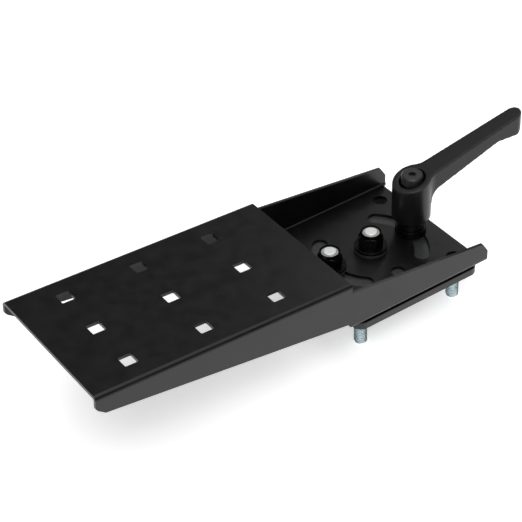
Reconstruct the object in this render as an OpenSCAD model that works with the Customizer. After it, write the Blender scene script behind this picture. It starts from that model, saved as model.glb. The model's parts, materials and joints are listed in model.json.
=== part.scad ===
// Swivel arm bracket. A formed sheet-steel arm turns on a base plate about a pivot stud, a guide
// stud in a second slot keeps it level, and an adjustable lever clamps it at the chosen angle.
// Origin: pivot axis at the underside of the base plate. +X points to the lever end, +Z is up,
// and the sloped carrier plate reaches out towards -X. Units are millimetres.

/* [Base plate] */
// Length of the base plate along the arm
base_len = 92; // [90:0.5:94]
// Width of the base plate
base_wid = 95; // [92:0.5:96]
// Thickness of the base plate
base_t = 5; // [5:0.25:6]
// Corner radius of the base plate
base_corner_r = 6; // [3:0.5:8]
// Pitch of the square of mounting screws
screw_pitch = 71; // [68:0.5:74]
// Length of each mounting screw, measured from its flush head
screw_len = 25; // [20:1:35]

/* [Swivel] */
// Gap between the base plate and the tray, filled by the slip disc
swivel_gap = 3; // [2.5:0.25:4]
// Diameter of the slip disc
slip_disc_d = 84; // [80:1:84]
// Distance from the pivot to the guide stud and to the clamp stud
slot_radius = 31.2; // [30:0.1:32]
// Width of the two arc slots
slot_wid = 9.6; // [8.6:0.1:10]
// Angle from the slot's middle to each end centre
slot_half_angle = 46.5; // [30:0.5:48]
// Outer diameter of the pivot bush
bush_d = 12; // [11:0.5:14]

/* [Tray] */
// Outer width of the tray and of the carrier plate
arm_wid = 100; // [98:0.5:104]
// Sheet thickness
sheet_t = 2; // [1.5:0.1:2.5]
// Outer radius of the bends
bend_r = 3; // [2.6:0.1:4]
// Distance from the pivot to the butt joint with the carrier plate
joint_x = 52.7; // [50:0.1:56]
// Distance from the pivot to the tray's free edge
tray_end_x = 46.9; // [46.5:0.1:50]
// How far each side flange runs past the free edge
flange_reach = 2.8; // [1:0.1:5]
// Height of the flange top at the butt joint, above the base plate's underside
flange_joint_z = 34.6; // [33:0.1:37]
// Height of the flange top at the free end
flange_end_z = 22.7; // [20:0.1:27]
// Diameter of the access holes over the mounting screws
access_d = 9; // [8:0.5:11]

/* [Carrier plate] */
// Length of the carrier plate along its slope
plate_len = 169.5; // [150:0.1:200]
// Slope of the carrier plate
plate_slope = 3; // [1:0.5:5]
// Height of the carrier plate's top face at the butt joint
plate_joint_z = 40.5; // [39:0.1:45]
// Side of the square holes
square_side = 8.3; // [7:0.1:10]
// Corner radius of the square holes
square_corner_r = 0.7; // [0.3:0.1:1.5]
// Distance along the slope from the butt joint to the first row of holes
first_row = 41.3; // [35:0.1:45]
// Pitch of the rows along the slope
row_pitch = 48.8; // [45:0.1:50]
// Pitch of the columns across the plate
column_pitch = 32.9; // [30:0.1:34]
// Height of the side wall's lower edge at the butt joint
wall_joint_z = 12; // [10:0.1:17]
// Height of the side wall's lower edge at the outer end
wall_outer_z = 36.3; // [34:0.1:39]

/* [Fasteners] */
// Diameter of the studs and mounting screws
stud_d = 8; // [8:0.1:8]
// Width across the flats of the lock nuts
nut_af = 13; // [13:0.1:13]
// Height of a lock nut's hexagon
nut_hex_h = 7.7; // [6.5:0.1:8]
// Height of a whole lock nut with its collar
nut_h = 9.5; // [9:0.1:10]
// Diameter of the washers under the lock nuts
washer_d = 20; // [16:0.5:20]
// Thickness of each washer in the pair under a lock nut
washer_t = 2; // [1.5:0.1:2]
// Height of the pivot and guide studs' ends above the base plate's underside
stud_top = 24.1; // [23:0.1:27]

/* [Clamping lever] */
// Diameter of the washer under the lever
clamp_washer_d = 19.5; // [16:0.5:22]
// Thickness of the washer under the lever
clamp_washer_t = 4.5; // [2:0.1:5]
// Diameter of the lever insert's neck
neck_d = 16.3; // [15:0.1:18]
// Diameter of the lever hub
hub_d = 24; // [22:0.5:26]
// Height of the hub's underside above the base plate's underside
hub_z = 20; // [19:0.1:22]
// Height of the lever's top face on the hub axis
lever_top_z = 49.3; // [48:0.1:52]
// Rise of the lever arm above the horizontal
lever_rise = 17.5; // [10:0.5:20]
// Direction of the lever arm about the clamp stud, counted from +X
lever_turn = -7; // [-90:1:90]
// Distance from the hub axis to the centre of the rounded tip
lever_reach = 71.3; // [60:0.1:85]
// Width of the lever arm at the hub axis
lever_wid = 15; // [13:0.1:18]
// Width of the lever arm at the rounded tip
lever_tip_wid = 10.8; // [9:0.1:14]
// Lift that frees the lever from its teeth
lever_lift = 4; // [3.6:0.1:4]

/* [Hidden] */

$fn = 64;
eps = 0.01;
run_gap = 0.05;         // clearance of everything that turns or slides on its neighbour
fit_gap = 0.05;         // clearance of a fastener in its hole

// Heights of the stack, from the base plate's underside upwards
tray_z = base_t + swivel_gap;
deck_z = tray_z + sheet_t;
nut_z = deck_z + 2 * washer_t;
neck_z = deck_z + clamp_washer_t;

// Mounting screws
screw_r = stud_d / 2;
screw_head_r = 8;
screw_head_h = screw_head_r - screw_r;
screw_neck_r = 3.6;     // rolled neck between the head and the thread, at the thread's pitch diameter
socket_af = 5;
socket_depth = 3;

// Clinched studs
stud_foot_r = 6;
stud_foot_h = 2;
spacer_d = 12;

// Lock nut
nut_turn = 18;          // direction of the first corner
nut_collar_d = 12.6;
ring_d = 10.6;
ring_h = 2.2;
ring_inset = 0.4;       // distance from the ring's top to the collar's lip

// Lever insert and what holds the handle on it
spline_count = 20;
spline_tip_r = 7.2;
spline_root_r = 6.5;
spline_z = hub_z + 8.5;
spline_h = lever_lift - 0.5;
insert_top_z = spline_z + spline_h;
insert_body_r = 7.3;
web_top_z = insert_top_z + 5;
clamp_stud_top = 26.5;
insert_blind_z = 27;
lever_screw_r = 2.5;
lever_screw_head_r = 6.75;
lever_screw_head_h = 6.2;
lever_screw_head_z = web_top_z + 9.4;
lever_screw_chamfer = 0.8;
pocket_r = 7.85;
wire_r = 0.5;
coil_r = 4.4;
coil_turns = 4;

// Lever arm, drawn from the hub axis outwards
lever_under_rise = 22.0;        // slope of the underside, which runs out in a level finger hook
lever_fillet_r = 10;
lever_fillet_x = 0.8 * hub_d / 2;
lever_fillet_z = hub_z + 12.1;
lever_hook_len = 18.4;
lever_tall_z = 2 * lever_top_z; // clear above the whole lever, before its top face is cut
lever_hook_r = 5.5;
lever_blend_r = 9;              // hollow corner between the hub and the arm, seen from above
lever_bite = 0.04;              // how far each hollow curve crosses the surface that it blends into
hub_chamfer = 2.4;

// Side outline of the arm
outer_x = joint_x + plate_len * cos(plate_slope);
outer_z = plate_joint_z + plate_len * sin(plate_slope);
wall_outer_x = outer_x - 5.3;
wall_corner_cut = 3.5;
end_chamfer_x = 4;
end_chamfer_z = 6.3;
relief_r = 1.5;

// Welds inside the arm, behind the butt joints
weld_r = 3;
weld_proud = 1.2;
weld_z = [13, 33];

drain_y = -26.5;         // extra hole beside the pivot
drain_d = 8.8;

black_coat = [0.10, 0.10, 0.11];
black_zinc = [0.13, 0.13, 0.14];
zinc = [0.72, 0.75, 0.78];
nylon = [0.85, 0.86, 0.84];
black_nylon = [0.07, 0.07, 0.07];
die_cast = [0.12, 0.12, 0.13];
spring_steel = [0.55, 0.55, 0.56];

screw_places = [
    [-screw_pitch / 2, -screw_pitch / 2],
    [screw_pitch / 2, -screw_pitch / 2],
    [screw_pitch / 2, screw_pitch / 2],
    [-screw_pitch / 2, screw_pitch / 2]
];
guide_place = [-slot_radius, 0, 0];
clamp_place = [slot_radius, 0, 0];

// ---------- shared shapes ----------

// Rectangle centred on the origin, with round corners
module rounded_rect(len, wid, r) {
    square([len, wid - 2 * r], center = true);
    square([len - 2 * r, wid], center = true);
    for (sx = [-1, 1], sy = [-1, 1])
        translate([sx * (len / 2 - r), sy * (wid / 2 - r)])
            circle(r = r);
}

// Flat ring lying on z = 0
module ring(outer_d, inner_d, h) {
    difference() {
        cylinder(d = outer_d, h = h);
        translate([0, 0, -eps])
            cylinder(d = inner_d, h = h + 2 * eps);
    }
}

// Block with two round lower edges, seen from the end: the outside or the inside of a channel
module channel_outline(wid, height, r) {
    translate([-wid / 2, r])
        square([wid, height - r]);
    translate([-wid / 2 + r, 0])
        square([wid - 2 * r, r + eps]);
    for (side = [-1, 1])
        translate([side * (wid / 2 - r), r])
            circle(r = r);
}

// Folded U channel, open upwards, running along +X from the origin
module channel(len, height) {
    rotate([90, 0, 90])
        linear_extrude(len)
            difference() {
                channel_outline(arm_wid, height, bend_r);
                translate([0, sheet_t])
                    channel_outline(arm_wid - 2 * sheet_t, height, bend_r - sheet_t);
            }
}

// Prism across the whole arm from an outline in X and Z
module side_prism(points) {
    translate([0, arm_wid, 0])
        rotate([90, 0, 0])
            linear_extrude(2 * arm_wid)
                polygon(points);
}

// Hexagonal prism with the given width across its flats
module hexagon(af, h) {
    cylinder(d = af / cos(30), h = h, $fn = 6);
}

// Arc slot about the pivot, centred on the +X side
module arc_slot(h) {
    rotate([0, 0, -slot_half_angle])
        rotate_extrude(angle = 2 * slot_half_angle)
            translate([slot_radius - slot_wid / 2, 0])
                square([slot_wid, h]);
    for (side = [-1, 1])
        rotate([0, 0, side * slot_half_angle])
            translate([slot_radius, 0, 0])
                cylinder(d = slot_wid, h = h);
}

// ---------- base ----------

module base_plate() {
    color(black_coat)
    difference() {
        linear_extrude(base_t)
            rounded_rect(base_len, base_wid, base_corner_r);
        for (p = screw_places)
            translate([p[0], p[1], 0]) {
                translate([0, 0, -eps])
                    cylinder(r = screw_r + fit_gap, h = base_t + 2 * eps);
                translate([0, 0, base_t - screw_head_h])
                    cylinder(r1 = screw_r + fit_gap, r2 = screw_head_r + fit_gap, h = screw_head_h + eps);
            }
        for (place = [[0, 0, 0], guide_place, clamp_place])
            translate(place) {
                translate([0, 0, -eps])
                    cylinder(r = stud_d / 2 + fit_gap, h = base_t + 2 * eps);
                translate([0, 0, -eps])
                    cylinder(r = stud_foot_r + fit_gap, h = stud_foot_h + fit_gap + eps);
            }
    }
}

// Countersunk socket screw, its head flush with the top of the base plate
module mounting_screw(index) {
    color(zinc)
    translate([screw_places[index][0], screw_places[index][1], base_t])
        difference() {
            union() {
                translate([0, 0, -screw_head_h])
                    cylinder(r1 = screw_r, r2 = screw_head_r, h = screw_head_h);
                translate([0, 0, -base_t - eps])
                    cylinder(r = screw_neck_r, h = base_t + eps - screw_head_h);
                translate([0, 0, -screw_len])
                    cylinder(r = screw_r, h = screw_len - base_t);
            }
            translate([0, 0, -socket_depth])
                hexagon(socket_af, socket_depth + eps);
        }
}

// Flush stud clinched into the base plate from below
module clinch_stud(top_z) {
    color(zinc)
    union() {
        cylinder(r = stud_foot_r, h = stud_foot_h);
        cylinder(d = stud_d, h = top_z);
    }
}

module pivot_stud() {
    clinch_stud(stud_top);
}

module guide_stud() {
    translate(guide_place)
        clinch_stud(stud_top);
}

module clamp_stud() {
    translate(clamp_place)
        clinch_stud(clamp_stud_top);
}

module slip_disc() {
    color(black_nylon)
    translate([0, 0, base_t])
        difference() {
            ring(slip_disc_d, bush_d + 2 * fit_gap, swivel_gap - run_gap);
            for (place = [guide_place, clamp_place])
                translate([place[0], place[1], -eps])
                    cylinder(d = spacer_d + 2 * fit_gap, h = swivel_gap + 2 * eps);
        }
}

module stud_spacer() {
    color(black_nylon)
    translate([0, 0, base_t])
        ring(spacer_d, stud_d + 2 * fit_gap, swivel_gap - run_gap);
}

module guide_spacer() {
    translate(guide_place)
        stud_spacer();
}

module clamp_spacer() {
    translate(clamp_place)
        stud_spacer();
}

// Bush that carries the tray's pivot hole
module pivot_bush() {
    color(black_nylon)
    translate([0, 0, base_t])
        ring(bush_d, stud_d + 2 * fit_gap, deck_z - base_t);
}

module slip_washer() {
    color(black_nylon)
    translate([0, 0, deck_z + run_gap])
        ring(washer_d, stud_d + 2 * fit_gap, washer_t - run_gap);
}

module steel_washer() {
    color(black_zinc)
    translate([0, 0, deck_z + washer_t])
        ring(washer_d, stud_d + 2 * fit_gap, washer_t);
}

module pivot_slip_washer() {
    slip_washer();
}

module guide_slip_washer() {
    translate(guide_place)
        slip_washer();
}

module pivot_steel_washer() {
    steel_washer();
}

module guide_steel_washer() {
    translate(guide_place)
        steel_washer();
}

// Hexagon with chamfered corners and a round collar that holds the nylon ring
module lock_nut() {
    corner_r = nut_af / cos(30) / 2;
    chamfer = corner_r - nut_af / 2;
    color(black_zinc)
    translate([0, 0, nut_z])
        difference() {
            union() {
                intersection() {
                    rotate([0, 0, nut_turn])
                        hexagon(nut_af, nut_hex_h);
                    union() {
                        cylinder(r1 = nut_af / 2, r2 = corner_r + eps, h = chamfer);
                        translate([0, 0, chamfer])
                            cylinder(r = corner_r + eps, h = nut_hex_h - 2 * chamfer);
                        translate([0, 0, nut_hex_h - chamfer])
                            cylinder(r1 = corner_r + eps, r2 = nut_af / 2, h = chamfer);
                    }
                }
                cylinder(d = nut_collar_d, h = nut_h);
            }
            translate([0, 0, -eps])
                cylinder(d = stud_d + 2 * fit_gap, h = nut_h + 2 * eps);
            translate([0, 0, nut_h - ring_inset - ring_h])
                cylinder(d = ring_d + 2 * fit_gap, h = ring_inset + ring_h + eps);
        }
}

module nut_ring() {
    color(nylon)
    translate([0, 0, nut_z + nut_h - ring_inset - ring_h])
        ring(ring_d, stud_d + 2 * fit_gap, ring_h);
}

module pivot_lock_nut() {
    lock_nut();
}

module guide_lock_nut() {
    translate(guide_place)
        lock_nut();
}

module pivot_nut_ring() {
    nut_ring();
}

module guide_nut_ring() {
    translate(guide_place)
        nut_ring();
}

module clamp_washer() {
    color(black_zinc)
    translate([slot_radius, 0, deck_z + run_gap])
        ring(clamp_washer_d, stud_d + 2 * fit_gap, clamp_washer_t - 2 * run_gap);
}

// ---------- arm ----------

module swivel_tray() {
    end_x = tray_end_x + flange_reach;
    color(black_coat)
    difference() {
        intersection() {
            translate([-joint_x, 0, tray_z])
                channel(joint_x + end_x, flange_joint_z);
            union() {
                side_prism([
                    [-joint_x, tray_z],
                    [tray_end_x, tray_z],
                    [tray_end_x, tray_z + flange_reach],
                    [end_x, tray_z + flange_reach],
                    [end_x, flange_end_z - end_chamfer_z],
                    [end_x - end_chamfer_x, flange_end_z],
                    [-joint_x, flange_joint_z]
                ]);
                translate([tray_end_x, arm_wid, tray_z + flange_reach])
                    rotate([90, 0, 0])
                        cylinder(r = flange_reach, h = 2 * arm_wid);
            }
        }
        free_edge_cut();
        translate([0, 0, tray_z - eps])
            tray_holes(sheet_t + 2 * eps);
    }
}

// What is cut away past the tray's free edge, between the flanges, with a round relief at each bend
module free_edge_cut() {
    inner_w = arm_wid - 2 * bend_r - 2 * relief_r;
    translate([tray_end_x, -inner_w / 2, tray_z - eps])
        cube([2 * flange_reach, inner_w, bend_r + eps]);
    for (side = [-1, 1])
        translate([tray_end_x + relief_r, side * inner_w / 2, tray_z - eps])
            cylinder(r = relief_r, h = bend_r + eps);
    for (side = [-1, 1])
        translate([tray_end_x + relief_r, side * (inner_w / 2 + relief_r / 2) - relief_r / 2, tray_z - eps])
            cube([2 * flange_reach, relief_r, bend_r + eps]);
}

module tray_holes(h) {
    cylinder(d = bush_d + 2 * run_gap, h = h);
    arc_slot(h);
    rotate([0, 0, 180])
        arc_slot(h);
    for (p = screw_places)
        translate([p[0], p[1], 0])
            cylinder(d = access_d, h = h);
    translate([0, drain_y, 0])
        cylinder(d = drain_d, h = h);
}

module top_plate() {
    spare = 6;
    color(black_coat)
    difference() {
        intersection() {
            translate([-joint_x, 0, plate_joint_z])
                rotate([0, plate_slope, 0])
                    mirror([0, 0, 1])
                        translate([-plate_len, 0, 0])
                            channel(plate_len + spare, plate_joint_z);
            side_prism([
                [-joint_x, plate_joint_z + spare],
                [-joint_x, wall_joint_z],
                [-wall_outer_x, wall_outer_z],
                [-outer_x + 1, wall_outer_z + wall_corner_cut],
                [-outer_x - spare, outer_z],
                [-outer_x - spare, outer_z + spare]
            ]);
        }
        square_holes();
    }
}

// Nine square holes, cut square to the slope
module square_holes() {
    translate([-joint_x, 0, plate_joint_z])
        rotate([0, plate_slope, 0])
            for (row = [0:2], column = [-1:1])
                translate([-first_row - row * row_pitch, column * column_pitch, -2 * sheet_t])
                    linear_extrude(3 * sheet_t)
                        rounded_rect(square_side, square_side, square_corner_r);
}

// Bead behind the butt joint, on the inner face of one wall
module wall_weld(side) {
    wall_y = arm_wid / 2 - sheet_t;
    color(black_coat)
    intersection() {
        translate([-joint_x, side * (wall_y + weld_r - weld_proud), weld_z[0]])
            cylinder(r = weld_r, h = weld_z[1] - weld_z[0]);
        translate([-joint_x - weld_r, side > 0 ? 0 : -wall_y, 0])
            cube([2 * weld_r, wall_y, plate_joint_z]);
    }
}

module left_weld() {
    wall_weld(1);
}

module right_weld() {
    wall_weld(-1);
}

// ---------- lever ----------

// Toothed outline of the insert, or of the handle's bore when gap is more than 0
module spline(gap) {
    step = 360 / spline_count;
    polygon([
        for (i = [0:spline_count - 1])
            for (k = [[-0.32, spline_root_r], [-0.16, spline_tip_r],
                      [0.16, spline_tip_r], [0.32, spline_root_r]])
                [(k[1] + gap) * cos((i + k[0]) * step), (k[1] + gap) * sin((i + k[0]) * step)]
    ]);
}

module lever_insert() {
    color(black_zinc)
    translate(clamp_place)
        difference() {
            union() {
                translate([0, 0, neck_z])
                    cylinder(d = neck_d, h = hub_z - neck_z);
                translate([0, 0, hub_z - eps])
                    cylinder(r = insert_body_r, h = spline_z - hub_z - 1 + eps);
                translate([0, 0, spline_z - 1 - eps])
                    cylinder(r = spline_root_r - 0.3, h = insert_top_z - spline_z + 1 + eps);
                translate([0, 0, spline_z])
                    linear_extrude(spline_h)
                        spline(0);
            }
            translate([0, 0, neck_z - eps])
                cylinder(d = stud_d + 2 * run_gap, h = insert_blind_z - neck_z + eps);
            translate([0, 0, insert_blind_z - eps])
                cylinder(r = lever_screw_r + fit_gap, h = insert_top_z - insert_blind_z + 2 * eps);
        }
}

// Screw that holds the handle down through the spring
module lever_screw() {
    color(black_zinc)
    translate([slot_radius, 0, 0])
        difference() {
            union() {
                translate([0, 0, lever_screw_head_z])
                    cylinder(r = lever_screw_head_r, h = lever_screw_head_h - lever_screw_chamfer);
                translate([0, 0, lever_screw_head_z + lever_screw_head_h - lever_screw_chamfer])
                    cylinder(r1 = lever_screw_head_r, r2 = lever_screw_head_r - lever_screw_chamfer,
                             h = lever_screw_chamfer);
                translate([0, 0, insert_blind_z + 0.3])
                    cylinder(r = lever_screw_r, h = lever_screw_head_z - insert_blind_z - 0.3 + eps);
            }
            translate([0, 0, lever_screw_head_z + lever_screw_head_h - 2.4])
                hexagon(4, 2.4 + eps);
        }
}

function coil_point(i, k, sides, rings, low, high) =
    let (turn = 360 * coil_turns * i / rings,
         tilt = 360 * k / sides,
         r = coil_r + wire_r * cos(tilt))
    [r * cos(turn), r * sin(turn), low + (high - low) * i / rings + wire_r * sin(tilt)];

// Compression spring between the handle's web and the screw's head
module lever_spring() {
    sides = 8;
    rings = 24 * coil_turns;
    low = web_top_z + wire_r + 0.1;
    high = lever_screw_head_z - wire_r - 0.1;
    points = [
        for (i = [0:rings])
            for (k = [0:sides - 1])
                coil_point(i, k, sides, rings, low, high)
    ];
    walls = [
        for (i = [0:rings - 1])
            for (k = [0:sides - 1])
                [i * sides + k, (i + 1) * sides + k,
                 (i + 1) * sides + (k + 1) % sides, i * sides + (k + 1) % sides]
    ];
    first_cap = [for (k = [0:sides - 1]) k];
    last_cap = [for (k = [sides - 1:-1:0]) rings * sides + k];
    color(spring_steel)
    translate(clamp_place)
        polyhedron(points, concat([first_cap], walls, [last_cap]));
}

// Height of the lever's top face at a distance from the hub axis
function lever_top(x) = lever_top_z + x * tan(lever_rise);

// Side of the arm: a tapering beam that leaves the hub in a fillet and ends in a finger hook
module lever_side() {
    rise = lever_under_rise;
    len = lever_reach + lever_tip_wid / 2 - 4 * lever_bite;
    beam_x = lever_fillet_x + lever_fillet_r * (1 - sin(rise));
    beam_z = lever_fillet_z + lever_fillet_r * cos(rise);
    corner_z = beam_z - (beam_x - lever_fillet_x) * tan(rise);
    hook_x = len - lever_hook_len;
    hook_z = beam_z + (hook_x - beam_x) * tan(rise);
    polygon([
        [0, lever_tall_z],
        [0, corner_z],
        [lever_fillet_x, corner_z],
        [beam_x, beam_z],
        [hook_x, hook_z],
        [len - lever_hook_r, hook_z],
        [len - lever_hook_r, hook_z + lever_hook_r],
        [len, hook_z + lever_hook_r],
        [len, lever_tall_z]
    ]);
    translate([len - lever_hook_r, hook_z + lever_hook_r])
        circle(r = lever_hook_r);
    difference() {
        polygon([
            [0, lever_fillet_z],
            [beam_x, lever_fillet_z],
            [beam_x, beam_z],
            [0, beam_z]
        ]);
        translate([lever_fillet_x + lever_fillet_r, lever_fillet_z + lever_bite])
            circle(r = lever_fillet_r);
    }
}

// Arm seen from above, with a hollow blend into the hub on each side
module lever_plan() {
    taper = (lever_wid - lever_tip_wid) / 2 / lever_reach;
    reach = hub_d / 2 + lever_blend_r - lever_bite;
    offset_y = lever_wid / 2 + lever_blend_r * sqrt(1 + taper * taper) - lever_bite;
    blend_x = (offset_y * taper + sqrt(reach * reach * (1 + taper * taper) - offset_y * offset_y))
        / (1 + taper * taper);
    blend_y = offset_y - taper * blend_x;
    polygon([
        [0, -lever_wid / 2],
        [lever_reach, -lever_tip_wid / 2],
        [lever_reach, lever_tip_wid / 2],
        [0, lever_wid / 2]
    ]);
    translate([lever_reach, 0])
        circle(d = lever_tip_wid);
    for (side = [0, 1])
        mirror([0, side])
            difference() {
                polygon([[0, 0], [blend_x, blend_y], [blend_x, 0]]);
                translate([blend_x, blend_y])
                    circle(r = lever_blend_r);
            }
}

// Hub with a chamfered foot, taller than the lever
module lever_hub() {
    hub_low = hub_z + run_gap;
    translate([0, 0, hub_low])
        cylinder(d1 = hub_d - 2 * hub_chamfer, d2 = hub_d, h = hub_chamfer);
    translate([0, 0, hub_low + hub_chamfer])
        cylinder(d = hub_d, h = lever_tall_z - hub_z);
}

// Prism across the lever from an outline in X and Z
module lever_prism() {
    translate([0, hub_d, 0])
        rotate([90, 0, 0])
            linear_extrude(2 * hub_d)
                children();
}

module lever_handle() {
    color(die_cast)
    translate(clamp_place)
        rotate([0, 0, lever_turn])
            difference() {
                intersection() {
                    union() {
                        lever_hub();
                        intersection() {
                            lever_prism()
                                lever_side();
                            translate([0, 0, hub_z])
                                linear_extrude(lever_tall_z)
                                    lever_plan();
                        }
                    }
                    lever_prism()
                        polygon([
                            [-hub_d, 0],
                            [2 * lever_reach, 0],
                            [2 * lever_reach, lever_top(2 * lever_reach)],
                            [-hub_d, lever_top(-hub_d)]
                        ]);
                }
                translate([0, 0, hub_z])
                    cylinder(r = insert_body_r + run_gap, h = spline_z - hub_z);
                translate([0, 0, spline_z - eps])
                    rotate([0, 0, -lever_turn])
                        linear_extrude(spline_h + run_gap + eps)
                            spline(0.1);
                translate([0, 0, insert_top_z])
                    cylinder(r = lever_screw_r + 0.4, h = web_top_z - insert_top_z + eps);
                translate([0, 0, web_top_z])
                    cylinder(r = pocket_r, h = lever_tall_z);
            }
}

base_plate();
mounting_screw(0);  // mounting_screw_1
mounting_screw(1);  // mounting_screw_2
mounting_screw(2);  // mounting_screw_3
mounting_screw(3);  // mounting_screw_4
pivot_stud();
guide_stud();
clamp_stud();
slip_disc();
guide_spacer();
clamp_spacer();
pivot_bush();
pivot_slip_washer();
guide_slip_washer();
pivot_steel_washer();
guide_steel_washer();
pivot_lock_nut();
guide_lock_nut();
pivot_nut_ring();
guide_nut_ring();
clamp_washer();
swivel_tray();
top_plate();
left_weld();
right_weld();
lever_insert();
lever_screw();
lever_spring();
lever_handle();
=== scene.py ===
"""Looks of a swivel arm bracket: powder-coated steel, zinc threads and a die-cast lever."""

import json
import math

import bmesh
import bpy
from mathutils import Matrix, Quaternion, Vector


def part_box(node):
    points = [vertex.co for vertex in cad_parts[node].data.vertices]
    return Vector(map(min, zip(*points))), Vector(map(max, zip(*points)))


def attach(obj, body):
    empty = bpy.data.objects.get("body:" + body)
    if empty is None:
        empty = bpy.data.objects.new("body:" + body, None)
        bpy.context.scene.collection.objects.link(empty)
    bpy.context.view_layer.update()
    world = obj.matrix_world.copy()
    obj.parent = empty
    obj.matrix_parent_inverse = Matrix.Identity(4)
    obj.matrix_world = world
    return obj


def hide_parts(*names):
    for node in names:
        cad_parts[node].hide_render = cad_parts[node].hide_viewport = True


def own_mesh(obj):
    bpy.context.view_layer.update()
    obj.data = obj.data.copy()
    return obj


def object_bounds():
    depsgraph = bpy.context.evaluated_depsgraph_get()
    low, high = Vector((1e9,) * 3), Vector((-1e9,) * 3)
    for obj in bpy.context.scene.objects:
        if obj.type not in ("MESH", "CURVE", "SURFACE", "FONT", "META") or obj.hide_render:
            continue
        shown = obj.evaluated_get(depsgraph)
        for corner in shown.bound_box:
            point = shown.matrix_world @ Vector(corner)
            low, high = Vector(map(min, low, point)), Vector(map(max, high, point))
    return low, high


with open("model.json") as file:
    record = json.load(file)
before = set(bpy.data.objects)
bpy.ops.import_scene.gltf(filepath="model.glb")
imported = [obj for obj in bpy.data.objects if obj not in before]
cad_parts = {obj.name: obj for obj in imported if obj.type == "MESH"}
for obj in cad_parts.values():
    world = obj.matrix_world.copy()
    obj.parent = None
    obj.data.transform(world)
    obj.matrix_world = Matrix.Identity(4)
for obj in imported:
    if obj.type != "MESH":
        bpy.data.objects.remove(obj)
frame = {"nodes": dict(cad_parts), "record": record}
cad_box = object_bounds()
NODES = frame["nodes"]
MM = 0.001


# ---------- camera, floor and light ----------

CAMERA_AZIMUTH, CAMERA_ELEVATION, CAMERA_ROLL = -34.1, 38.67, -2.2   # degrees
CAMERA_AIM = Vector((-60.83, 29.55, 11.8)) * MM
CAMERA_DISTANCE = 1.05285
CAMERA_LENS = 120.39
CAMERA_SENSOR = 36
CAMERA_CLIP = (0.05, 20)

FLOOR_GAP = 0.2 * MM   # keeps the floor just under the screws' ends
FLOOR_HALF = 6.0
FLOOR_TONE = 0.95
FLOOR_ROUGHNESS = 0.9
FLOOR_GLOW = 0.55

# Brightness of the surroundings: place on the ramp (0 straight down, 1 straight up), value
SKY_STOPS = (
    (0.0, 0.70), (0.10, 0.40), (0.30, 0.16), (0.52, 0.12),
    (0.61, 0.03), (0.70, 0.03), (0.82, 1.3), (1.0, 1.3),
)
# Name, place, size and watts of each lamp; both face the origin
LAMPS = (
    ("key", (-0.9, -1.2, 1.7), (1.2, 1.2), 14),
    ("rim", (1.5, 1.0, 1.15), (0.9, 0.6), 2.4),
)


def make_camera():
    azimuth, elevation, roll = (
        math.radians(angle) for angle in (CAMERA_AZIMUTH, CAMERA_ELEVATION, CAMERA_ROLL)
    )
    back = Vector((
        math.sin(azimuth) * math.cos(elevation),
        -math.cos(azimuth) * math.cos(elevation),
        math.sin(elevation),
    ))
    data = bpy.data.cameras.new("camera")
    data.lens = CAMERA_LENS
    data.sensor_width = CAMERA_SENSOR
    data.clip_start, data.clip_end = CAMERA_CLIP
    camera = bpy.data.objects.new("camera", data)
    camera.rotation_mode = "QUATERNION"
    camera.location = CAMERA_AIM + back * CAMERA_DISTANCE
    camera.rotation_quaternion = (-back).to_track_quat("-Z", "Y") @ Quaternion((0, 0, 1), roll)
    bpy.context.scene.collection.objects.link(camera)
    bpy.context.scene.camera = camera


def area_light(name, location, size, power):
    data = bpy.data.lights.new(name, "AREA")
    data.shape = "RECTANGLE"
    data.size, data.size_y = size
    data.energy = power
    light = bpy.data.objects.new(name, data)
    light.location = location
    light.rotation_mode = "QUATERNION"
    light.rotation_quaternion = (-Vector(location)).to_track_quat("-Z", "Y")
    bpy.context.scene.collection.objects.link(light)


def make_studio():
    scene = bpy.context.scene
    scene.view_settings.view_transform = "Standard"
    floor_z = cad_box[0].z - FLOOR_GAP
    mesh = bpy.data.meshes.new("floor")
    corners = [
        (x * FLOOR_HALF, y * FLOOR_HALF, floor_z)
        for x, y in ((-1, -1), (1, -1), (1, 1), (-1, 1))
    ]
    mesh.from_pydata(corners, [], [(0, 1, 2, 3)])
    floor = bpy.data.objects.new("floor", mesh)
    scene.collection.objects.link(floor)
    material = bpy.data.materials.new("studio_floor")
    material.use_nodes = True
    shader = material.node_tree.nodes["Principled BSDF"]
    shader.inputs["Base Color"].default_value = (FLOOR_TONE, FLOOR_TONE, FLOOR_TONE, 1)
    shader.inputs["Roughness"].default_value = FLOOR_ROUGHNESS
    shader.inputs["Emission Color"].default_value = (1, 1, 1, 1)
    shader.inputs["Emission Strength"].default_value = FLOOR_GLOW
    mesh.materials.append(material)

    world = bpy.data.worlds.new("studio")
    scene.world = world
    world.use_nodes = True
    tree = world.node_tree
    back = tree.nodes["Background"]
    coords = tree.nodes.new("ShaderNodeTexCoord")
    split = tree.nodes.new("ShaderNodeSeparateXYZ")
    ramp = tree.nodes.new("ShaderNodeValToRGB")
    tree.links.new(coords.outputs["Generated"], split.inputs[0])
    tree.links.new(split.outputs["Z"], ramp.inputs["Fac"])
    tree.links.new(ramp.outputs["Color"], back.inputs["Color"])
    elements = ramp.color_ramp.elements
    while len(elements) < len(SKY_STOPS):
        elements.new(0.5)
    for element, (place, value) in zip(elements, SKY_STOPS):
        element.position = place
        element.color = (value, value, value, 1)
    for lamp in LAMPS:
        area_light(*lamp)


# ---------- materials ----------

NOISE_LOW, NOISE_HIGH = 0.3, 0.7   # the part of a noise's range that carries its tones


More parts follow.
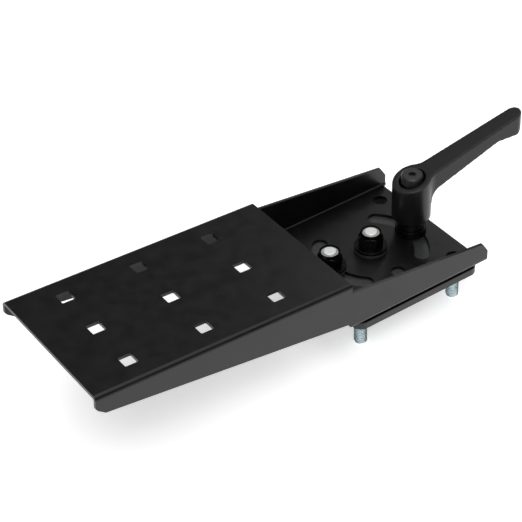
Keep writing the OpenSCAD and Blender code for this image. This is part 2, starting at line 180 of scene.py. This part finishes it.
class Nodes:
    """Short calls that add nodes to one material."""

    def __init__(self, name):
        self.material = bpy.data.materials.new(name)
        self.material.use_nodes = True
        self.tree = self.material.node_tree
        self.shader = self.tree.nodes["Principled BSDF"]
        self.coords = self.tree.nodes.new("ShaderNodeTexCoord").outputs["Object"]

    def link(self, source, socket):
        self.tree.links.new(source, socket)

    def noise(self, size_mm, detail=2.0, rough=0.5):
        node = self.tree.nodes.new("ShaderNodeTexNoise")
        node.inputs["Scale"].default_value = 1 / (size_mm * MM)
        node.inputs["Detail"].default_value = detail
        node.inputs["Roughness"].default_value = rough
        self.link(self.coords, node.inputs["Vector"])
        return node.outputs["Fac"]

    def between(self, fac, low, high):
        node = self.tree.nodes.new("ShaderNodeMapRange")
        node.inputs["From Min"].default_value = NOISE_LOW
        node.inputs["From Max"].default_value = NOISE_HIGH
        node.inputs["To Min"].default_value = low
        node.inputs["To Max"].default_value = high
        self.link(fac, node.inputs["Value"])
        return node.outputs["Result"]

    def tones(self, fac, dark, light):
        node = self.tree.nodes.new("ShaderNodeValToRGB")
        ends = node.color_ramp.elements
        ends[0].position, ends[1].position = NOISE_LOW, NOISE_HIGH
        ends[0].color = (*dark, 1)
        ends[1].color = (*light, 1)
        self.link(fac, node.inputs["Fac"])
        return node.outputs["Color"]

    def bump(self, height, strength, distance_mm, under=None):
        node = self.tree.nodes.new("ShaderNodeBump")
        node.inputs["Strength"].default_value = strength
        node.inputs["Distance"].default_value = distance_mm * MM
        self.link(height, node.inputs["Height"])
        if under:
            self.link(under, node.inputs["Normal"])
        return node.outputs["Normal"]

    def set(self, **values):
        for name, value in values.items():
            self.shader.inputs[name.replace("_", " ")].default_value = value


def powder_coat(name, dark, light, rough, grain_mm=0.55, grain=0.22, sheen=0.5):
    """Baked powder: an orange-peel skin with a finer grit in it, and slight clouds in its gloss."""
    n = Nodes(name)
    n.link(n.tones(n.noise(22, 3), dark, light), n.shader.inputs["Base Color"])
    n.link(n.between(n.noise(9, 4), *rough), n.shader.inputs["Roughness"])
    peel = n.bump(n.noise(grain_mm * 3.2, 1), grain * 0.8, 0.05)
    n.link(n.bump(n.noise(grain_mm, 2, 0.6), grain, 0.03, peel), n.shader.inputs["Normal"])
    n.set(IOR=1.5, Specular_IOR_Level=sheen)
    return n.material


def plated_steel(name, dark, light, rough, metallic=1.0, sheen=0.5):
    """Zinc or blackened plate over machined steel."""
    n = Nodes(name)
    n.link(n.tones(n.noise(2.5, 4, 0.6), dark, light), n.shader.inputs["Base Color"])
    n.link(n.between(n.noise(1.1, 3), *rough), n.shader.inputs["Roughness"])
    n.link(n.bump(n.noise(0.4, 3), 0.12, 0.02), n.shader.inputs["Normal"])
    n.set(Metallic=metallic, Specular_IOR_Level=sheen)
    return n.material


def nylon(name, dark, light, rough):
    n = Nodes(name)
    n.link(n.tones(n.noise(3, 2), dark, light), n.shader.inputs["Base Color"])
    n.link(n.between(n.noise(1.2, 3), *rough), n.shader.inputs["Roughness"])
    n.link(n.bump(n.noise(0.3, 2), 0.1, 0.02), n.shader.inputs["Normal"])
    n.set(IOR=1.53)
    return n.material


def grey(value, tint=0.0):
    return (value * (1 - tint), value, value * (1 + tint))


MATERIALS = {
    "arm_coat": powder_coat(
        "arm_coat", grey(0.0011, 0.03), grey(0.0022, 0.03), (0.28, 0.36), sheen=0.46),
    "base_coat": powder_coat(
        "base_coat", grey(0.0040, 0.04), grey(0.0065, 0.04), (0.34, 0.44)),
    "screw_zinc": plated_steel(
        "screw_zinc", (0.55, 0.65, 0.68), (0.76, 0.86, 0.89), (0.20, 0.34)),
    # near-white, half-metal stud ends: a painted highlight for the bright glint on each stud's end
    "stud_zinc_painted_highlight": plated_steel(
        "stud_zinc_painted_highlight", (0.80, 0.82, 0.82), (0.95, 0.96, 0.96), (0.35, 0.50), metallic=0.35),
    "slide_nylon": nylon(
        "slide_nylon", grey(0.030, 0.03), grey(0.040, 0.03), (0.30, 0.42)),
    "washer_black": plated_steel(
        "washer_black", grey(0.001), grey(0.002), (0.20, 0.30), metallic=0.0, sheen=0.24),
    "nut_black": plated_steel(
        "nut_black", grey(0.018), grey(0.032), (0.10, 0.18), sheen=0.3),
    "nut_nylon": nylon(
        "nut_nylon", (0.36, 0.37, 0.32), (0.46, 0.47, 0.42), (0.30, 0.42)),
    "insert_black": plated_steel(
        "insert_black", grey(0.003), grey(0.005), (0.22, 0.34), metallic=0.0),
    "lever_screw_black": plated_steel(
        "lever_screw_black", grey(0.014), grey(0.022), (0.30, 0.42), metallic=0.0),
    "spring_steel": plated_steel(
        "spring_steel", grey(0.30), grey(0.38), (0.25, 0.35)),
    "lever_cast": powder_coat(
        "lever_cast", grey(0.0055, 0.02), grey(0.0085, 0.02), (0.28, 0.36),
        grain_mm=0.4, grain=0.3, sheen=0.38),
}
RECORD = frame["record"]
SLOT = {part["node"]: part["material_slot"] for part in RECORD["subparts"]}
BODY = {name: body for body, names in RECORD["behaviour"]["bodies"].items() for name in names}


# ---------- mesh helpers ----------

SAME_POINT = 0.0005 * MM   # CAD vertices closer than this are one
FLAT_DEG = 0.4             # CAD faces within this angle are one
EDGE_DEG = 32              # sharper bends than this are edges


def cad_bmesh(node):
    """The CAD node's surface with its flat faces whole again."""
    bm = bmesh.new()
    bm.from_mesh(NODES[node].data)
    bmesh.ops.remove_doubles(bm, verts=bm.verts, dist=SAME_POINT)
    bmesh.ops.dissolve_limit(
        bm, angle_limit=math.radians(FLAT_DEG), verts=bm.verts, edges=bm.edges)
    return bm


def fill_openings(bm):
    """Closes every open loop of edges."""
    bmesh.ops.holes_fill(bm, edges=[edge for edge in bm.edges if edge.is_boundary], sides=0)


def finish_piece(name, bm, node, sharp_deg=EDGE_DEG):
    """Turns a bmesh into a piece that rides on a CAD node's body and stands for it."""
    bm.normal_update()
    points = [v.co.copy() for v in bm.verts]
    bm.verts.index_update()
    faces = [[v.index for v in f.verts] for f in bm.faces]
    bm.free()
    mesh = bpy.data.meshes.new(name)
    mesh.from_pydata(points, [], faces)
    mesh.validate()
    for polygon in mesh.polygons:
        polygon.use_smooth = True
    mesh.set_sharp_from_angle(angle=math.radians(sharp_deg))
    piece = bpy.data.objects.new(name, mesh)
    bpy.context.scene.collection.objects.link(piece)
    mesh.materials.append(MATERIALS[SLOT[node]])
    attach(piece, BODY[node])
    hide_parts(node)
    return piece


def paint(piece, name):
    """Gives a piece one material in place of its slot's."""
    piece.data.materials.clear()
    piece.data.materials.append(MATERIALS[name])


def soften(piece, width_mm, segments=2):
    """Rounds a piece's edges and keeps the shading of its flat faces even."""
    bevel = piece.modifiers.new("edges", "BEVEL")
    bevel.width = width_mm * MM
    bevel.segments = segments
    bevel.limit_method = "ANGLE"
    bevel.angle_limit = math.radians(EDGE_DEG)
    bevel.harden_normals = True
    bevel.use_clamp_overlap = True
    flats = piece.modifiers.new("flats", "WEIGHTED_NORMAL")
    flats.keep_sharp = True
    return piece


def dress(node, width_mm, segments):
    """A piece with the CAD node's own shape and softened edges."""
    return soften(finish_piece(node + "_piece", cad_bmesh(node), node), width_mm, segments)


def settle(piece):
    """Turns a piece's modifiers into its mesh."""
    evaluated = piece.evaluated_get(bpy.context.evaluated_depsgraph_get())
    mesh = bpy.data.meshes.new_from_object(evaluated)
    piece.modifiers.clear()
    piece.data = mesh
    return mesh


# ---------- mounting screws: a head given the base plate's dark material, bright rolled thread ---

SCREW_RADIUS = 4.0 * MM
SCREW_CHAMFER = 1.0 * MM
SCREW_CUT = 0.5 * MM          # height in the base plate where the rod meets the head piece
SCREW_EDGE_MM = 0.25
CUT_DIST = 1e-7
THREAD_SHARP_DEG = 28
THREAD_PITCH = 1.25 * MM
THREAD_ROWS = ((0.06, 0.0), (0.40, 1.0), (0.60, 1.0), (0.94, 0.0))   # place in the pitch, depth
THREAD_DEPTH = 0.72 * MM
THREAD_STEPS = 48
THREAD_SAME = 0.001 * MM      # rod vertices closer than this are one


def threaded_rod(x, y, low, high, radius, chamfer):
    """A rod with a helical thread, its lower end chamfered."""
    bm = bmesh.new()
    core = radius - THREAD_DEPTH
    turns = math.ceil((high - low) / THREAD_PITCH) + 2
    columns = []
    for i in range(THREAD_STEPS):
        angle = math.tau * i / THREAD_STEPS
        column = []
        for turn in range(turns):
            for place, depth in THREAD_ROWS:
                z = low + THREAD_PITCH * (turn - 1 + place + i / THREAD_STEPS)
                r = radius - depth * THREAD_DEPTH
                r = min(r, radius - chamfer + max(z - low, 0))
                if z <= low or z >= high:
                    r = min(core, radius - chamfer)
                z = min(max(z, low), high)
                column.append(bm.verts.new((x + r * math.cos(angle), y + r * math.sin(angle), z)))
        columns.append(column)
    rows = len(columns[0])
    per_turn = len(THREAD_ROWS)
    for i in range(THREAD_STEPS):
        left, right = columns[i], columns[(i + 1) % THREAD_STEPS]
        step = per_turn if i == THREAD_STEPS - 1 else 0
        for k in range(rows - 1):
            if k + 1 + step < rows:
                bm.faces.new((left[k], right[k + step], right[k + 1 + step], left[k + 1]))
    bmesh.ops.remove_doubles(bm, verts=bm.verts, dist=THREAD_SAME)
    bmesh.ops.dissolve_degenerate(bm, dist=THREAD_SAME, edges=bm.edges)
    fill_openings(bm)
    bmesh.ops.recalc_face_normals(bm, faces=bm.faces)
    return bm


def mounting_screw(node):
    """A head cut from the CAD screw and given the base plate's dark material, and a bright threaded
    rod under it.
    """
    low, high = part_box(node)
    x, y = (low.x + high.x) / 2, (low.y + high.y) / 2
    head = cad_bmesh(node)
    bmesh.ops.bisect_plane(
        head, geom=head.verts[:] + head.edges[:] + head.faces[:], dist=CUT_DIST,
        plane_co=(0, 0, SCREW_CUT), plane_no=(0, 0, 1), clear_inner=True)
    fill_openings(head)
    head_piece = soften(finish_piece(node + "_head", head, node), SCREW_EDGE_MM)
    paint(head_piece, "base_coat")
    rod = threaded_rod(x, y, low.z, SCREW_CUT, SCREW_RADIUS, SCREW_CHAMFER)
    finish_piece(node + "_thread", rod, node, THREAD_SHARP_DEG)


# ---------- welds: a rippled bead behind each butt joint ----------

WELD_ACROSS, WELD_ALONG = 14, 96      # faces across and along a bead
WELD_SHARP_DEG = 60
RIPPLE_PITCH = 1.7 * MM
RIPPLE_BOW = 0.45                     # how far a ripple lags at the bead's edges, in pitches
RIPPLE_FLOOR = 0.80                   # lowest height in a ripple, as a share of the highest
END_POWER = 14                        # the higher, the blunter the bead's ends
END_HEIGHT = 0.02
EDGE_WAVE = 0.06                      # waviness of the bead's width, as a share
EDGE_WAVE_PER_MM = 1.9
END_WIDTH = 0.75


def weld_bead(node):
    """A half-round bead with a scaled surface, closed by a flat back on the wall."""
    low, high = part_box(node)
    side = 1 if low.y > 0 else -1
    wall = max(abs(low.y), abs(high.y)) * side
    proud = high.y - low.y
    middle = (low.x + high.x) / 2
    half = (high.x - low.x) / 2
    bm = bmesh.new()
    rows = []
    for j in range(WELD_ALONG + 1):
        t = j / WELD_ALONG
        z = low.z + (high.z - low.z) * t
        blunt = math.sqrt(max(0.0, 1 - abs(2 * t - 1) ** END_POWER))
        taper = min(1.0, blunt + END_HEIGHT)
        row = []
        for i in range(WELD_ACROSS + 1):
            u = 2 * i / WELD_ACROSS - 1
            wave = (z / RIPPLE_PITCH + RIPPLE_BOW * u * u) % 1.0
            ripple = RIPPLE_FLOOR + (1 - RIPPLE_FLOOR) * math.sqrt(wave)
            height = proud * math.sqrt(max(0.0, 1 - u * u)) * taper * ripple
            sway = 1 - EDGE_WAVE + EDGE_WAVE * math.sin(z / MM * EDGE_WAVE_PER_MM + u)
            edge = half * sway * (END_WIDTH + (1 - END_WIDTH) * taper)
            row.append(bm.verts.new((middle + u * edge, wall - side * height, z)))
        rows.append(row)
    for lower, upper in zip(rows, rows[1:]):
        for i in range(WELD_ACROSS):
            bm.faces.new((lower[i], lower[i + 1], upper[i + 1], upper[i]))
    for lower, upper in zip(rows, rows[1:]):
        bm.faces.new((lower[0], upper[0], upper[-1], lower[-1]))
    fill_openings(bm)
    bmesh.ops.recalc_face_normals(bm, faces=bm.faces)
    finish_piece(node + "_bead", bm, node, WELD_SHARP_DEG)


# ---------- lever: a soft-edged die casting over its spring ----------

CAST_VOXEL = 0.45 * MM
CAST_SMOOTHING = 0.5
CAST_PASSES = 7
WIRE_SHARP_DEG = 60


def cast_handle():
    """The CAD handle with the round edges and flowing corners of a die casting."""
    node = "lever_handle"
    piece = finish_piece(node + "_cast", cad_bmesh(node), node)
    remesh = piece.modifiers.new("voxels", "REMESH")
    remesh.mode = "VOXEL"
    remesh.voxel_size = CAST_VOXEL
    remesh.use_smooth_shade = True
    smooth = piece.modifiers.new("soft", "SMOOTH")
    smooth.factor = CAST_SMOOTHING
    smooth.iterations = CAST_PASSES
    mesh = settle(piece)
    for polygon in mesh.polygons:
        polygon.use_smooth = True


def spring_coil():
    """The lever spring, on its own copy of the CAD coil's mesh."""
    node = "lever_spring"
    coil = finish_piece(node + "_coil", cad_bmesh(node), node, WIRE_SHARP_DEG)
    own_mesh(coil)


# Width in mm and segments of the rounding on each kind of part's edges
SHEET_EDGE = (0.35, 3)
RING_EDGE = (0.6, 4)
STUD_EDGE = (0.9, 5)
SMALL_EDGE = (0.2, 2)
LEVER_EDGE = (0.3, 2)

for node in ("base_plate", "swivel_tray", "top_plate"):
    dress(node, *SHEET_EDGE)
for node in SLOT:
    if node.startswith("mounting_screw"):
        mounting_screw(node)
    elif node.endswith("_nut_ring"):
        dress(node, *RING_EDGE)
    elif node.endswith("_stud"):
        # stud ends get the near-white material, a painted highlight standing in for their glint
        paint(dress(node, *STUD_EDGE), "stud_zinc_painted_highlight")
    elif BODY[node] == "base" and node != "base_plate":
        dress(node, *SMALL_EDGE)
for node in ("left_weld", "right_weld"):
    weld_bead(node)
for node in ("lever_insert", "lever_screw"):
    dress(node, *LEVER_EDGE)
cast_handle()
spring_coil()

make_camera()
make_studio()
